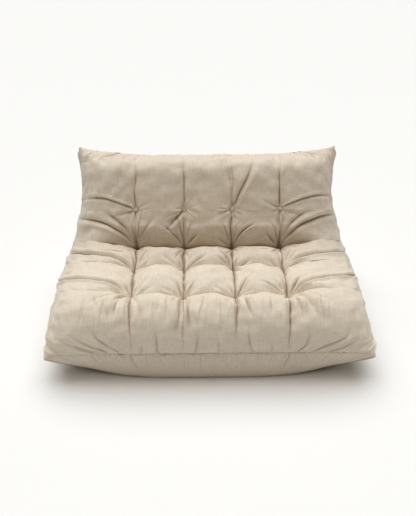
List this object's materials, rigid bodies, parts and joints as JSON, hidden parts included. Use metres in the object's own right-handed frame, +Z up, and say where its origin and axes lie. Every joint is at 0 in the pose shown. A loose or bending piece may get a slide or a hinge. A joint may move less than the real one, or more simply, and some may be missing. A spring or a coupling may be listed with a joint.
{
  "type": "chair seat pad",
  "caption": "Low free-standing floor lounge seat: one deep-buttoned padded seat and back in linen, with a tapered base band and a zip along the rear base seam.",
  "frame": {"origin": "on the floor, at the middle of the seat's plan", "axes": "+X across the seat, to the right seen from the front; +Y from the front roll to the rear; +Z up"},
  "size_m": [1.2242, 0.8354, 0.6433],
  "materials": {
    "cover_fabric": "natural linen weave, matt",
    "button_cloth": "linen, pulled tight over a button",
    "underside": "spun-bonded dust cloth",
    "fibre_wadding": "loose polyester fibre",
    "firm_foam": "open-cell foam",
    "soft_foam": "open-cell foam",
    "tuft_twine": "twisted twine",
    "tie_webbing": "woven webbing",
    "zip_tape": "woven tape",
    "zip_nylon": "moulded nylon coil",
    "zip_metal": "satin zinc"
  },
  "bodies": {
    "seat": {"back_foam": "soft_foam", "base_band": "cover_fabric", "base_foam": "firm_foam", "base_wadding": "fibre_wadding", "button_back_1": "button_cloth", "button_back_2": "button_cloth", "button_back_3": "button_cloth", "button_back_4": "button_cloth", "button_crease_1": "button_cloth", "button_crease_2": "button_cloth", "button_crease_3": "button_cloth", "button_crease_4": "button_cloth", "button_front_1": "button_cloth", "button_front_2": "button_cloth", "button_front_3": "button_cloth", "button_front_4": "button_cloth", "button_middle_1": "button_cloth", "button_middle_2": "button_cloth", "button_middle_3": "button_cloth", "button_middle_4": "button_cloth", "outer_back_panel": "cover_fabric", "outer_back_wadding": "fibre_wadding", "quilt_wadding": "fibre_wadding", "quilted_cover": "cover_fabric", "seat_foam": "soft_foam", "tie_strip_back": "tie_webbing", "tie_strip_crease": "tie_webbing", "tie_strip_front": "tie_webbing", "tie_strip_middle": "tie_webbing", "tuft_cord_back_1": "tuft_twine", "tuft_cord_back_2": "tuft_twine", "tuft_cord_back_3": "tuft_twine", "tuft_cord_back_4": "tuft_twine", "tuft_cord_crease_1": "tuft_twine", "tuft_cord_crease_2": "tuft_twine", "tuft_cord_crease_3": "tuft_twine", "tuft_cord_crease_4": "tuft_twine", "tuft_cord_front_1": "tuft_twine", "tuft_cord_front_2": "tuft_twine", "tuft_cord_front_3": "tuft_twine", "tuft_cord_front_4": "tuft_twine", "tuft_cord_middle_1": "tuft_twine", "tuft_cord_middle_2": "tuft_twine", "tuft_cord_middle_3": "tuft_twine", "tuft_cord_middle_4": "tuft_twine", "underside_cloth": "underside", "zip_stop_left": "zip_metal", "zip_stop_right": "zip_metal", "zip_tape_lower": "zip_tape", "zip_tape_upper": "zip_tape", "zip_teeth_lower": "zip_nylon", "zip_teeth_upper": "zip_nylon"},
    "slider": {"zip_slider": "zip_metal"},
    "pull_tab": {"zip_pull_tab": "zip_metal"}
  },
  "joints": [
    {"name": "zip_slide", "type": "slide", "parent": "seat", "child": "slider", "axis": [1, 0, 0], "range_m": [0, 0.8272]},
    {"name": "pull_tab_hinge", "type": "hinge", "parent": "slider", "child": "pull_tab", "pos_m": [-0.4136, 0.40865, 0.14761], "axis": [1, 0, 0], "range_deg": [0, 135]}
  ]
}
